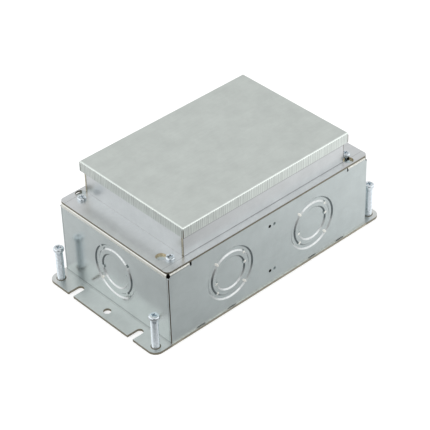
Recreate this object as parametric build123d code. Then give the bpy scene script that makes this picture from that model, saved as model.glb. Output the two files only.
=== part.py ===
from build123d import *
import os
from math import atan2, cos, degrees, hypot, radians, sin

# Steel floor box, in millimetres. +X runs along the box, -Y is its front long wall, +Z is up.
# The origin is the middle of the base plate's underside.

# Sheet metal
SHEET = 1.6
BASE_SHEET = 2.0
LID_SHEET = 1.0
DIVIDER_SHEET = 1.2
BEND_INSIDE = 1.0
SHEAR_BEVEL = 0.5
SEAM = 0.2
SCREW_CLEARANCE = 0.05

# Box body
BODY_LENGTH = 200.0
BODY_WIDTH = 119.0
BODY_HEIGHT = 63.0
TAB_LENGTH = 20.4
TAB_DEPTH = 7.0
TAB_RELIEF_WIDTH = 1.5
TAB_RELIEF_DEPTH = 3.4
FOOT_SLIT_LENGTH = 8.0
FOOT_SLIT_HEIGHT = 0.6
FOOT_SLIT_DEPTH = 3.0
FOOT_SLIT_PLACES = (41.5, 71.5)

# Base plate
BASE_END_FLANGE = 16.75
BASE_SIDE_LIP = 1.0
BASE_CORNER_RADIUS = 7.0
MOUNT_HOLE_DIAMETER = 6.0
MOUNT_HOLE_INSET = 7.0
MOUNT_SLOT_WIDTH = 6.0
MOUNT_SLOT_DEPTH = 12.0
MOUNT_SLOT_OFFSET = 33.5

# Cover frame
COVER_END_LIP = 0.6
COVER_CORNER_RADIUS = 4.0
COLLAR_END_MARGIN = 20.0
COLLAR_SIDE_MARGIN = 6.0
COLLAR_RISE = 26.4
COLLAR_BEND_INSIDE = 0.2
KEYHOLE_TURN = 4.0
KEYHOLE_HEAD_GAP = 0.55
KEYHOLE_SHANK_GAP = 0.25

# Lid
LID_END_GAP = 1.0
LID_SIDE_GAP = 1.7
LID_RIM_DEPTH = 8.8
LID_EDGE_RADIUS = 1.3
LID_SEAM = 0.4
LID_SEAM_TOP = 2.4

# Knockouts: three concentric trade sizes, sheared part way so that every second ring lies lower
KNOCKOUT_RADII = (22.2, 17.5, 14.3)
KNOCKOUT_STEP = 0.8
KNOCKOUT_PITCH = 83.0
TIE_WIDTH = 2.4
TIE_REACH = 1.6
OUTER_TIE_ANGLES = (132, -48)
MIDDLE_TIE_ANGLES = (42, 132, -48, -138)
INNER_TIE_ANGLES = (11, 191)

# Nub pairs that hold the divider
NUB_RADIUS = 1.4
NUB_HEIGHT = 1.0
NUB_PIERCING_RADIUS = 0.9
NUB_INSET = 10.8

# Divider
DIVIDER_HEIGHT = 56.0
DIVIDER_SIDE_GAP = 0.3
DIVIDER_CORNER = 4.0

# Levelling screws
LEVEL_DIAMETER = 6.0
LEVEL_LENGTH = 28.0
LEVEL_TIP_HEIGHT = 0.3
LEVEL_INSET = 7.1
LEVEL_HEAD_DIAMETER = 8.2
LEVEL_HEAD_HEIGHT = 3.0

# Cover screws
COVER_SCREW_DIAMETER = 3.5
COVER_SCREW_LENGTH = 8.0
COVER_SCREW_COLLAR_GAP = 8.0
COVER_SCREW_SIDE_INSET = 11.0
COVER_HEAD_DIAMETER = 6.9
COVER_HEAD_HEIGHT = 2.3

# Recess of both kinds of screw: shares of the head's own radius
RECESS_REACH_SHARE = 0.55
RECESS_WIDTH_SHARE = 0.2

# Ground screw and its raised pad in the floor
GROUND_SCREW_DIAMETER = 4.8
GROUND_SCREW_LENGTH = 4.8
GROUND_HEX_FLATS = 7.9
GROUND_HEAD_HEIGHT = 3.2
GROUND_PAD_SIZE = 15.0
GROUND_PAD_HEIGHT = 4.0
GROUND_SCREW_X = -60.0
GROUND_SCREW_Y = 25.0

# Levels and half sizes that follow from the sizes above
BEND_OUTSIDE = BEND_INSIDE + SHEET
HALF_LENGTH = BODY_LENGTH / 2
HALF_WIDTH = BODY_WIDTH / 2
BODY_TOP = BASE_SHEET + BODY_HEIGHT
FLOOR_TOP = BASE_SHEET + SHEET
COVER_TOP = BODY_TOP + SHEET
COLLAR_TOP = COVER_TOP + COLLAR_RISE
COLLAR_HALF_LENGTH = HALF_LENGTH - COLLAR_END_MARGIN
COLLAR_HALF_WIDTH = HALF_WIDTH - COLLAR_SIDE_MARGIN
LID_TOP = COLLAR_TOP + LID_SHEET
BASE_HALF_LENGTH = HALF_LENGTH + BASE_END_FLANGE
BASE_HALF_WIDTH = HALF_WIDTH + BASE_SIDE_LIP
LEVEL_X = BASE_HALF_LENGTH - LEVEL_INSET
LEVEL_Y = BASE_HALF_WIDTH - LEVEL_INSET
COVER_SCREW_X = COLLAR_HALF_LENGTH + COVER_SCREW_COLLAR_GAP
COVER_SCREW_Y = HALF_WIDTH - COVER_SCREW_SIDE_INSET
GROUND_PAD_TOP = FLOOR_TOP + GROUND_PAD_HEIGHT

CORNERS = {
    "front_left": (-1, -1),
    "front_right": (1, -1),
    "rear_left": (-1, 1),
    "rear_right": (1, 1),
}


def block(x, y, z):
    """A box between two limits on each axis."""
    size = Vector(x[1] - x[0], y[1] - y[0], z[1] - z[0])
    middle = Vector(x[0] + x[1], y[0] + y[1], z[0] + z[1]) * 0.5
    return Pos(middle) * Box(size.X, size.Y, size.Z)


def rod(x, y, bottom, top, radius):
    """An upright cylinder between two levels."""
    upright = (Align.CENTER, Align.CENTER, Align.MIN)
    return Pos(x, y, bottom) * Cylinder(radius, top - bottom, align=upright)


def strip(points, plane, reach, inside=BEND_INSIDE):
    """A bent sheet: its middle line in a plane, given its thickness and pulled both ways."""
    middle_line = FilletPolyline(*points, radius=inside + SHEET / 2)
    return extrude(plane * trace(middle_line, SHEET), amount=reach, both=True)


def both_ends(solid):
    """A solid and its copy turned half way round the upright axis."""
    return solid + Rot(0, 0, 180) * solid


def end_wall():
    """Left end: flat from the base plate up, then in as the flange that carries the screws."""
    top_line = BODY_TOP - SHEET / 2
    wall_line = -(HALF_LENGTH - SHEET / 2)
    flange_end = -COLLAR_HALF_LENGTH
    points = [(wall_line, BASE_SHEET), (wall_line, top_line), (flange_end, top_line)]
    wall = strip(points, Plane.XZ, HALF_WIDTH - SHEET - SEAM)
    beside_tab = HALF_WIDTH - TAB_DEPTH - SEAM
    behind_sheet = -(HALF_LENGTH - SHEET)
    for side in (1, -1):
        y = sorted((side * beside_tab, side * HALF_WIDTH))
        wall -= block((behind_sheet, flange_end + 1), y, (BODY_TOP - BEND_OUTSIDE, BODY_TOP + 1))
    return wall


def long_wall():
    """Front wall: flat from the base plate up, with a short tab folded in at each end."""
    wall_depth = (-HALF_WIDTH, -(HALF_WIDTH - SHEET))
    wall_line = -(HALF_WIDTH - SHEET / 2)
    top_line = BODY_TOP - SHEET / 2
    fold_start = BODY_TOP - BEND_OUTSIDE
    tab_start = HALF_LENGTH - TAB_LENGTH
    points = [
        (wall_line, fold_start - SHEET),
        (wall_line, top_line),
        (-(HALF_WIDTH - TAB_DEPTH), top_line),
    ]
    tab = strip(points, Plane.YZ, TAB_LENGTH / 2)
    wall = block((-HALF_LENGTH, HALF_LENGTH), wall_depth, (BASE_SHEET, fold_start))
    wall = chamfer(wall.edges().filter_by(Axis.Z).group_by(Axis.Y)[0], SHEAR_BEVEL)
    wall += block((-tab_start, tab_start), wall_depth, (fold_start, BODY_TOP))
    wall += [Pos(side * (HALF_LENGTH - TAB_LENGTH / 2), 0, 0) * tab for side in (1, -1)]
    return wall - long_wall_cuts(tab_start)


def long_wall_cuts(tab_start):
    """Slots beside the tabs, notches past the end walls and slits along the foot."""
    depth = (-HALF_WIDTH - 1, -(HALF_WIDTH - TAB_DEPTH) + 1)
    foot_depth = (-HALF_WIDTH - 1, -(HALF_WIDTH - FOOT_SLIT_DEPTH))
    relief_height = (BODY_TOP - TAB_RELIEF_DEPTH, BODY_TOP + 1)
    tab_stop = HALF_LENGTH - SHEET - SEAM
    cuts = []
    for side in (1, -1):
        slot = sorted((side * (tab_start - TAB_RELIEF_WIDTH), side * tab_start))
        corner = sorted((side * tab_stop, side * (HALF_LENGTH + 1)))
        cuts += [block(slot, depth, relief_height), block(corner, depth, relief_height)]
        for place in FOOT_SLIT_PLACES:
            middle, half = side * place, FOOT_SLIT_LENGTH / 2
            height = (BASE_SHEET - 1, BASE_SHEET + FOOT_SLIT_HEIGHT)
            cuts.append(block((middle - half, middle + half), foot_depth, height))
    return cuts


def ring(outer, inner, bottom, top):
    """A flat ring, or a disc where the inner radius is zero."""
    disc = rod(0, 0, bottom, top, outer)
    return disc - rod(0, 0, bottom - 1, top + 1, inner) if inner else disc


def tie(radius, angle):
    """A small bridge that keeps the sheet whole across one sheared circle."""
    bar = Box(2 * TIE_REACH, TIE_WIDTH, 4 * KNOCKOUT_STEP)
    return Rot(0, 0, angle) * (Pos(radius, 0, 0) * bar)


def knockout():
    """What is pressed out of a wall's outer face, which is the plane z = 0 facing up."""
    outer, middle, inner = KNOCKOUT_RADII
    lowered = ring(outer, middle, -KNOCKOUT_STEP, 1) + ring(inner, 0, -KNOCKOUT_STEP, 1)
    ties = [tie(outer, angle) for angle in OUTER_TIE_ANGLES]
    ties += [tie(middle, angle) for angle in MIDDLE_TIE_ANGLES]
    ties += [tie(inner, angle) for angle in INNER_TIE_ANGLES]
    return lowered - ties


def wall_places():
    """The frames of the six knockouts, each looking out of its wall."""
    height = BASE_SHEET + BODY_HEIGHT / 2
    front = [Plane((x, -HALF_WIDTH, height), x_dir=(1, 0, 0), z_dir=(0, -1, 0))
             for x in (-KNOCKOUT_PITCH / 2, KNOCKOUT_PITCH / 2)]
    rear = [Plane((x, HALF_WIDTH, height), x_dir=(-1, 0, 0), z_dir=(0, 1, 0))
            for x in (-KNOCKOUT_PITCH / 2, KNOCKOUT_PITCH / 2)]
    left = Plane((-HALF_LENGTH, 0, height), x_dir=(0, -1, 0), z_dir=(-1, 0, 0))
    right = Plane((HALF_LENGTH, 0, height), x_dir=(0, 1, 0), z_dir=(1, 0, 0))
    return front + rear + [left, right]


def nub_frames():
    """The frames of the front wall's four nubs; the first of each pair is pierced."""
    reach = DIVIDER_SHEET / 2 + DIVIDER_SIDE_GAP + NUB_RADIUS
    frames = []
    for height in (BASE_SHEET + NUB_INSET, BODY_TOP - NUB_INSET):
        for x in (-reach, reach):
            frame = Plane((x, -HALF_WIDTH, height), x_dir=(1, 0, 0), z_dir=(0, -1, 0))
            frames.append((frame, x < 0))
    return frames


def nub_punch(radius, bottom, top):
    """A short punch with eight sides."""
    return Pos(0, 0, bottom) * extrude(RegularPolygon(radius, 8), amount=top - bottom)


def nub_tools():
    """Bumps behind the front wall's nubs, and the dimples and holes in front of them."""
    back = -SHEET - NUB_HEIGHT
    bumps, dimples = [], []
    for frame, pierced in nub_frames():
        bumps.append(frame.location * nub_punch(NUB_RADIUS, back, -SHEET))
        dimples.append(frame.location * nub_punch(NUB_RADIUS, -NUB_HEIGHT, 1))
        if pierced:
            dimples.append(frame.location * nub_punch(NUB_PIERCING_RADIUS, back - 1, 1))
    return bumps, dimples


def ground_pad_tools():
    """A raised pad in the floor, so that the ground screw's tip clears the base plate."""
    x, y = GROUND_SCREW_X, GROUND_SCREW_Y
    hole = GROUND_SCREW_DIAMETER / 2 + SCREW_CLEARANCE
    half = GROUND_PAD_SIZE / 2
    inside = half - SHEET
    pad = block((x - half, x + half), (y - half, y + half), (BASE_SHEET, GROUND_PAD_TOP))
    hollow = block(
        (x - inside, x + inside), (y - inside, y + inside), (0, GROUND_PAD_TOP - SHEET)
    )
    return [pad], [hollow, rod(x, y, 0, GROUND_PAD_TOP + 1, hole)]


def cover_screw_holes():
    """The four holes of the end flanges."""
    hole = COVER_SCREW_DIAMETER / 2 + SCREW_CLEARANCE
    low, high = BODY_TOP - SHEET - 1, BODY_TOP + 1
    return [
        rod(side_x * COVER_SCREW_X, side_y * COVER_SCREW_Y, low, high, hole)
        for side_x, side_y in CORNERS.values()
    ]


def box_body():
    """The whole box: a floor with four walls welded to it, all open at the corner seams."""
    floor_x = HALF_LENGTH - SHEET
    floor_y = HALF_WIDTH - SHEET
    floor = block((-floor_x, floor_x), (-floor_y, floor_y), (BASE_SHEET, FLOOR_TOP))
    end, front = end_wall(), long_wall()
    turned = Rot(0, 0, 180)
    walls = [end, turned * end, front, turned * front]
    pressed = knockout()
    bumps, dimples = nub_tools()
    pads, pad_holes = ground_pad_tools()
    added = bumps + [turned * bump for bump in bumps] + pads
    removed = [place.location * pressed for place in wall_places()]
    removed += dimples + [turned * dimple for dimple in dimples] + pad_holes
    return floor + walls + added - removed - cover_screw_holes()


def plate(half_length, half_width, bottom, top, corner):
    """A flat sheet with rounded corners."""
    outline = RectangleRounded(2 * half_length, 2 * half_width, corner)
    return Pos(0, 0, bottom) * extrude(outline, amount=top - bottom)


def base_plate():
    """Flat plate with screw holes, open slots and a round hole on each end flange."""
    body = plate(BASE_HALF_LENGTH, BASE_HALF_WIDTH, 0, BASE_SHEET, BASE_CORNER_RADIUS)
    hole = LEVEL_DIAMETER / 2 + SCREW_CLEARANCE
    for side_x, side_y in CORNERS.values():
        body -= rod(side_x * LEVEL_X, side_y * LEVEL_Y, -1, BASE_SHEET + 1, hole)
    return body - both_ends(flange_openings())


def flange_openings():
    """The round hole and the two open slots of the left end flange."""
    low, high = -1, BASE_SHEET + 1
    cut = rod(-(BASE_HALF_LENGTH - MOUNT_HOLE_INSET), 0, low, high, MOUNT_HOLE_DIAMETER / 2)
    half = MOUNT_SLOT_WIDTH / 2
    round_end = -(BASE_HALF_LENGTH - MOUNT_SLOT_DEPTH + half)
    for y in (-MOUNT_SLOT_OFFSET, MOUNT_SLOT_OFFSET):
        cut += rod(round_end, y, low, high, half)
        cut += block((-BASE_HALF_LENGTH - 1, round_end), (y - half, y + half), (low, high))
    return cut


def keyhole(side_x, side_y):
    """A slot from a cover screw to a round end that passes its head, along the turn."""
    x, y = side_x * COVER_SCREW_X, side_y * COVER_SCREW_Y
    reach = hypot(x, y)
    angle = degrees(atan2(y, x)) - KEYHOLE_TURN
    end_x, end_y = reach * cos(radians(angle)), reach * sin(radians(angle))
    low, high = BODY_TOP - 1, COVER_TOP + 1
    half = COVER_SCREW_DIAMETER / 2 + KEYHOLE_SHANK_GAP
    length = hypot(end_x - x, end_y - y)
    heading = degrees(atan2(end_y - y, end_x - x))
    channel = Pos(length / 2, 0, (low + high) / 2) * Box(length, 2 * half, high - low)
    slot = Pos(x, y, 0) * Rot(0, 0, heading) * channel
    slot += rod(x, y, low, high, half)
    return slot + rod(end_x, end_y, low, high, COVER_HEAD_DIAMETER / 2 + KEYHOLE_HEAD_GAP)


def collar_flap(half_face, reach, plane):
    """One flap: from the frame's inner edge up to the collar's top."""
    frame_line = COVER_TOP - SHEET / 2
    wall_line = -(half_face - SHEET / 2)
    points = [
        (-(half_face + COLLAR_BEND_INSIDE + SHEET), frame_line),
        (wall_line, frame_line),
        (wall_line, COLLAR_TOP),
    ]
    return strip(points, plane, reach, COLLAR_BEND_INSIDE)


def cover_frame():
    """Flat frame with keyholes, and four flaps folded up into the collar."""
    half_x, half_y = COLLAR_HALF_LENGTH, COLLAR_HALF_WIDTH
    body = plate(HALF_LENGTH + COVER_END_LIP, HALF_WIDTH, BODY_TOP, COVER_TOP, COVER_CORNER_RADIUS)
    mouth_x, mouth_y = half_x + COLLAR_BEND_INSIDE, half_y + COLLAR_BEND_INSIDE
    body -= block((-mouth_x, mouth_x), (-mouth_y, mouth_y), (BODY_TOP - 1, COVER_TOP + 1))
    body += both_ends(collar_flap(half_x, half_y - SHEET - SEAM, Plane.XZ))
    body += both_ends(collar_flap(half_y, half_x, Plane.YZ))
    for side_x, side_y in CORNERS.values():
        body -= keyhole(side_x, side_y)
    return body


def lid():
    """Shallow pan over the collar, its rim open in a short seam at each corner."""
    half_x = COLLAR_HALF_LENGTH + LID_END_GAP + LID_SHEET
    half_y = COLLAR_HALF_WIDTH + LID_SIDE_GAP + LID_SHEET
    bottom = LID_TOP - LID_RIM_DEPTH
    pan = block((-half_x, half_x), (-half_y, half_y), (bottom, LID_TOP))
    pan = fillet(pan.edges().group_by(Axis.Z)[-1], LID_EDGE_RADIUS)
    inside_x, inside_y = half_x - LID_SHEET, half_y - LID_SHEET
    pan -= block((-inside_x, inside_x), (-inside_y, inside_y), (bottom - 1, COLLAR_TOP))
    seam_top = LID_TOP - LID_SEAM_TOP
    for side_x, side_y in CORNERS.values():
        x = sorted((side_x * (inside_x - 1), side_x * (half_x + 1)))
        y = sorted((side_y * inside_y, side_y * (inside_y - LID_SEAM)))
        pan -= block(x, y, (bottom - 1, seam_top))
    return pan


def divider():
    """Loose partition between the nubs, its lower corners cropped clear of the weld."""
    half_y = HALF_WIDTH - SHEET - DIVIDER_SIDE_GAP
    top = FLOOR_TOP + DIVIDER_HEIGHT
    corners = [
        (-half_y, FLOOR_TOP + DIVIDER_CORNER),
        (-half_y + DIVIDER_CORNER, FLOOR_TOP),
        (half_y - DIVIDER_CORNER, FLOOR_TOP),
        (half_y, FLOOR_TOP + DIVIDER_CORNER),
        (half_y, top),
        (-half_y, top),
    ]
    outline = make_face(Polyline(*corners, close=True))
    return extrude(Plane.YZ * outline, amount=DIVIDER_SHEET / 2, both=True)


def recessed_head(x, y, bottom, radius, height):
    """A low round head with a cross recess."""
    slit = Box(2 * radius * RECESS_REACH_SHARE, radius * RECESS_WIDTH_SHARE, height)
    recess = Pos(x, y, bottom + height) * (slit + Rot(0, 0, 90) * slit)
    return rod(x, y, bottom, bottom + height, radius) - recess


def levelling_screw(side_x, side_y):
    """One corner screw, raised so that its tip is just short of the plate's underside."""
    x, y = side_x * LEVEL_X, side_y * LEVEL_Y
    head_bottom = LEVEL_TIP_HEIGHT + LEVEL_LENGTH
    body = rod(x, y, LEVEL_TIP_HEIGHT, head_bottom, LEVEL_DIAMETER / 2)
    return body + recessed_head(x, y, head_bottom, LEVEL_HEAD_DIAMETER / 2, LEVEL_HEAD_HEIGHT)


def cover_screw(side_x, side_y):
    """One screw through a keyhole's narrow end into the end flange."""
    x, y = side_x * COVER_SCREW_X, side_y * COVER_SCREW_Y
    body = rod(x, y, COVER_TOP - COVER_SCREW_LENGTH, COVER_TOP, COVER_SCREW_DIAMETER / 2)
    return body + recessed_head(x, y, COVER_TOP, COVER_HEAD_DIAMETER / 2, COVER_HEAD_HEIGHT)


def ground_screw():
    """Hexagon screw on the raised pad."""
    x, y = GROUND_SCREW_X, GROUND_SCREW_Y
    tip = GROUND_PAD_TOP - GROUND_SCREW_LENGTH
    body = rod(x, y, tip, GROUND_PAD_TOP, GROUND_SCREW_DIAMETER / 2)
    hexagon = RegularPolygon(GROUND_HEX_FLATS / 2, 6, major_radius=False)
    head = extrude(hexagon, amount=GROUND_HEAD_HEIGHT)
    return body + Pos(x, y, GROUND_PAD_TOP) * head


def pieces():
    """Every piece under the name of its node."""
    made = {
        "base_plate": base_plate(),
        "box_body": box_body(),
        "cover_frame": cover_frame(),
        "lid": lid(),
        "divider": divider(),
        "ground_screw": ground_screw(),
    }
    for corner, (side_x, side_y) in CORNERS.items():
        made[f"levelling_screw_{corner}"] = levelling_screw(side_x, side_y)
        made[f"cover_screw_{corner}"] = cover_screw(side_x, side_y)
    return made


os.makedirs("parts", exist_ok=True)
for name, piece in pieces().items():
    export_step(piece, f"parts/{name}.step")
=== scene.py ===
from math import cos, pi, radians, sin

import bpy
from bpy.props import FloatProperty, FloatVectorProperty, PointerProperty
from mathutils import Matrix, Vector


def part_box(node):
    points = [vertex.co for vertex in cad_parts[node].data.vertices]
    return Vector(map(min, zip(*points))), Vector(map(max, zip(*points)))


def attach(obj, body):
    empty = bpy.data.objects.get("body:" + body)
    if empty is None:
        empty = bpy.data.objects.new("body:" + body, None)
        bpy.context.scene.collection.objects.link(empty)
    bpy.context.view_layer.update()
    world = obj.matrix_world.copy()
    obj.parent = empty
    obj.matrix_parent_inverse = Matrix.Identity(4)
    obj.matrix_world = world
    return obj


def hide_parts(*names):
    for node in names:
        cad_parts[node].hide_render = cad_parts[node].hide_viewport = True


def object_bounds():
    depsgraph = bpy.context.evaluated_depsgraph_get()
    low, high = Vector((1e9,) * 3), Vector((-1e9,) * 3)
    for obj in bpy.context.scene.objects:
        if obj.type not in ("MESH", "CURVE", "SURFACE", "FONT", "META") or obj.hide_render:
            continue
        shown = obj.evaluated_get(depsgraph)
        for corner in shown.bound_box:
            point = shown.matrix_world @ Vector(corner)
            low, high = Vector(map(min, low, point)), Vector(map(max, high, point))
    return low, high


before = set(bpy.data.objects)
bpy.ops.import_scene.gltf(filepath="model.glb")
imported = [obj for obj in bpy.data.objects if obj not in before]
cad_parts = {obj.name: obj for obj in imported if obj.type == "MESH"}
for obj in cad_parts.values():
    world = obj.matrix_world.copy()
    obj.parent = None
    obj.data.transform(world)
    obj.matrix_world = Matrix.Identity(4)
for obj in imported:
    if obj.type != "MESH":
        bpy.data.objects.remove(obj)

bl_info = {
    "name": "Floor box",
    "version": (1, 0, 0),
    "blender": (4, 5, 0),
    "location": "3D View > Sidebar > Floor box",
    "description": "Finishes, screws and studio of a galvanised steel floor box",
    "category": "Object",
}

CAD_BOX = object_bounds()

MM = 0.001
CORNERS = ("front_left", "front_right", "rear_left", "rear_right")

# The photograph's frame and the camera that its outline gives
IMAGE_PIXELS = 430
FOCAL_PIXELS = 1707.8
SENSOR_WIDTH = 36.0
CAMERA_PLACE = Vector((-679.02, -758.99, 812.08)) * MM
CAMERA_AZIMUTH = radians(-41.74)
CAMERA_ELEVATION = radians(37.49)
CAMERA_ROLL = radians(-1.80)

# The studio's dim side, where the photographer stands
SHADE_SIDE = (-0.643, -0.720, 0.259)
# The middles of the two low soft lights beside the camera
LEFT_GLOW_SIDE = (-0.935, -0.150, 0.320)
RIGHT_GLOW_SIDE = (0.100, -0.940, 0.320)
# Cosines of the angles from those sides at which each begins and is full
SHADE_CONE = {"From Min": 0.88, "From Max": 0.97}
GLOW_CONE = {"From Min": 0.90, "From Max": 0.97}
RIGHT_LAMP = (0.86, -0.86, 0.72)
LEFT_LAMP = (-0.84, 0.80, 0.72)
LAMP_WIDTH = 2.0
FLOOR_WIDTH = 8.0
FARTHEST_SEEN = 20.0

# Towards this side the mirrored paper loses its light, over this stretch from the middle
# of the floor, down to this share
FADING_SIDE = (-0.8, -0.6, 0.0)
MIRROR_FADE = {"From Min": -60 * MM, "From Max": 120 * MM}
FADED_SHARE = 0.12
# Where the mirrored paper turns dim towards the dim side
DIM_EDGE = {"From Min": 112 * MM, "From Max": 140 * MM}
# Spacing of the fibres in the paper
PAPER_GRAIN = 10 / 9 * MM
# White added to the mirrored paper that shows through the slots of the base plate
SLOT_LIGHT = 0.34

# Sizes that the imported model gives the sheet, the collar and the ends with the slots
SHEET = 1.6 * MM
COLLAR_X = 80 * MM
COLLAR_Y = 53.5 * MM
SLOTTED_ENDS = {"x": (90 * MM, 119 * MM), "y": (0.0, 62 * MM)}
# Just inside the cover frame's outer edge
FRAME_X = 98 * MM
FRAME_Y = 57 * MM

# Limits of a region: farther out than anything, and a normal that runs along its axis
FAR = 1.0
ALONG = (0.9, 1.1)
# Noise seldom leaves this span, so each pattern is stretched from it
NOISE_SPAN = {"From Min": 0.3, "From Max": 0.7}
WHITE = (1.0, 1.0, 1.0, 1.0)
# Roughness of steel without its coat
BARE_ROUGHNESS = 0.5
# Folds between faces gentler than these are shown smooth
SMOOTH_ANGLE = radians(32)
FOLD_SMOOTH_ANGLE = radians(40)

# A thread's depth as a share of its pitch, and the tip's width as a share of the root's
THREAD_DEPTH = 0.3
TIP_TAPER = 0.86
# Parts of a pan head as shares of its height: wall, rounding, lower edge, recess's depth
HEAD_WALL = 0.93
HEAD_ROUNDING = 0.5
HEAD_LOWER_EDGE = 0.08
RECESS_DEPTH = 0.62
# and as shares of its radius: the crown's slope, the recess's reach and width
CROWN_SLOPE = 0.3
RECESS_REACH = 0.60
RECESS_WIDTH = 0.32
# What is left of the recess's reach and width at its bottom
RECESS_TAPER = (0.5, 0.7, 1)
# The ground screw's slot
SLOT_WIDTH = 1.0 * MM
SLOT_DEPTH = 1.3 * MM
# How far each screw's recess is turned, in degrees, in the order of CORNERS
LEVEL_TURNS = (20, 65, 40, 10)
COVER_TURNS = (48, 15, 70, 35)

# Angles of the bridges across a knockout's circles, in degrees, seen from outside
OUTER_BRIDGES = (132, -48)
MIDDLE_BRIDGES = (42, -138)
INNER_BRIDGES = (11, 191)
END_WALL_BRIDGES = (-138,)
# How far a swelling runs past the ring that it bridges
PAD_MARGIN = 0.7 * MM
# How deep a lip's closed back lies under the wall, as a share of the step
LIP_BACK = 1.2
# How much longer the lower half of an end fold is than a half circle
FOLD_RUN_OUT = 1.6
# A burr's gap round the screw, the slope of its outer side, and how far it is sunk
BURR_GAP = 0.08 * MM
BURR_SLOPE = 0.3 * MM
BURR_SINK = 0.1 * MM


def linear(hex_colour):
    """Linear colour with alpha from an sRGB hex value."""
    parts = [int(hex_colour[i:i + 2], 16) / 255 for i in (1, 3, 5)]
    return [p / 12.92 if p <= 0.04045 else ((p + 0.055) / 1.055) ** 2.4 for p in parts] + [1.0]


def millimetres(label, text, value):
    """A length property whose default is given in millimetres."""
    return FloatProperty(name=label, description=text, default=value * MM, min=0.0,
                         precision=5, unit="LENGTH")


def colour(label, text, hex_colour):
    """A colour property whose default is an sRGB hex value."""
    return FloatVectorProperty(name=label, description=text, default=linear(hex_colour),
                               size=4, min=0.0, max=1.0, subtype="COLOR")


class ScrewSizes(bpy.types.PropertyGroup):
    """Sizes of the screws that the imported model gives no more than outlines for."""

    level_thread: millimetres("Levelling thread", "Outside diameter of the thread", 6.0)
    level_pitch: millimetres("Levelling pitch", "Distance from crest to crest", 1.0)
    level_head: millimetres("Levelling head", "Height of the head", 3.0)
    cover_thread: millimetres("Cover thread", "Outside diameter of the thread", 3.5)
    cover_pitch: millimetres("Cover pitch", "Distance from crest to crest", 0.7)
    cover_head: millimetres("Cover head", "Height of the head", 2.3)
    ground_thread: millimetres("Ground thread", "Outside diameter of the thread", 4.8)
    ground_pitch: millimetres("Ground pitch", "Distance from crest to crest", 0.8)
    ground_head: millimetres("Ground head", "Height of the head", 3.2)
    burr_width: millimetres("Burr width", "Width of the burr round a tapped hole", 0.8)
    burr_height: millimetres("Burr height", "Height of the burr over the plate", 0.25)


class KnockoutSizes(bpy.types.PropertyGroup):
    """Sizes of the concentric knockouts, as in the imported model."""

    outer: millimetres("Outer ring", "Diameter of the largest circle", 44.4)
    middle: millimetres("Middle ring", "Diameter of the middle circle", 35.0)
    inner: millimetres("Inner disc", "Diameter of the smallest circle", 28.6)
    pitch: millimetres("Pitch", "Distance between two knockouts of a long wall", 83.0)
    tie: millimetres("Tie", "Width of a bridge across a sheared circle", 2.4)
    step: millimetres("Step", "Depth of the lowered rings", 0.8)
    lip: millimetres("Lip", "Width of the slope beside a circle of a long wall", 1.25)
    end_lip: millimetres("End lip", "Width of the slope beside a circle of an end wall", 1.1)
    pad: millimetres("Pad", "Height of a bridge's swelling over the wall", 0.25)


class FoldSizes(bpy.types.PropertyGroup):
    """Sizes of the swollen folds at the top of the end walls."""

    radius: millimetres("Radius", "Outside radius of the fold", 2.0)
    crown: millimetres("Crown", "Depth of the fullest line under the box's top", 2.3)
    swell: millimetres("Swell", "How far the fold stands out from the wall", 0.55)
    set_back: millimetres("Set back", "Distance of the fold's ends from the long walls", 1.9)


class SheetFinish(bpy.types.PropertyGroup):
    """Colours and pattern sizes of the sheet metal."""

    # The parts' zinc tones differ in brightness partly as painted light: each is set lighter or
    # darker to match how light falls on that part; the small differences in hue are the coats'
    # own
    zinc: colour("Zinc", "Colour of the zinc coat", "#C4CCCC")
    plate: colour("Plate zinc", "Zinc of the base plate, the most neutral", "#DFE2E0")
    collar: colour("Collar zinc", "Zinc of the cover frame, a little bluer", "#D9DCDD")
    lid: colour("Lid zinc", "Zinc of the lid, a little warmer", "#D3D9D5")
    # Painted highlight: lighter than the box's zinc, it stands for the highlight along the bends
    # of the long walls' tabs and on the end folds; on the base plate's lip it is about the
    # plate's own zinc, only duller
    fold: colour("Fold zinc", "Zinc rubbed bright along folds and lips", "#E0E1DB")
    # Painted highlight on the knockouts' lips where their slopes look up
    painted_lip_highlight: colour("Burnished lip", "Zinc rubbed bright by the punch", "#D0D4D4")
    # Painted highlight on the bridges' swellings
    swelling: colour("Swelling", "Zinc polished on the bridges' swellings", "#F4F4EE")
    # Partly shear marks, partly painted shade on one side of each knockout ring
    punched: colour("Punched lip", "Shear marks beside the punch, dark", "#6E7678")
    sheared: colour("Sheared edge", "Bare edge of the sheet, dull and brown", "#858072")
    worn_edge: colour("Worn edge", "Edge of the base plate, lightly rusted", "#A8A395")
    dark_edge: colour("Dark edge", "Edge in a seam, rusted and shaded", "#5A4C3C")
    # Painted shadow: nearly black on the sides of the nub pits, the slits and the notches, which
    # lie in shade
    shadow: colour("Pierced edge", "Torn edge inside the sheet, nearly black", "#2E2B28")
    pale_edge: colour("Pale edge", "Edge that still wears some zinc", "#C4BFAE")
    # Partly the cut edge's own colour, partly painted light in the shade inside the keyholes
    bright_edge: colour("Bright edge", "Freshly cut edge of a keyhole", "#F2E0C0")
    spangle: millimetres("Spangle", "Size of a zinc crystal", 3.0)
    mottle: millimetres("Mottle", "Size of the soft clouds in the coat", 14.0)
    rolling: millimetres("Rolling lines", "Spacing of the fine rolling lines", 0.8)
    striation: millimetres("Rim striations", "Spacing of the drawing marks on the rim", 1.8)


class ScrewFinish(bpy.types.PropertyGroup):
    """Colours of the screws."""

    zinc_plate: colour("Zinc plate", "Bright plate with a blue cast", "#DDE5EA")
    green_plate: colour("Green plate", "Green dyed plate of the ground screw", "#2E7D46")


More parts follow.
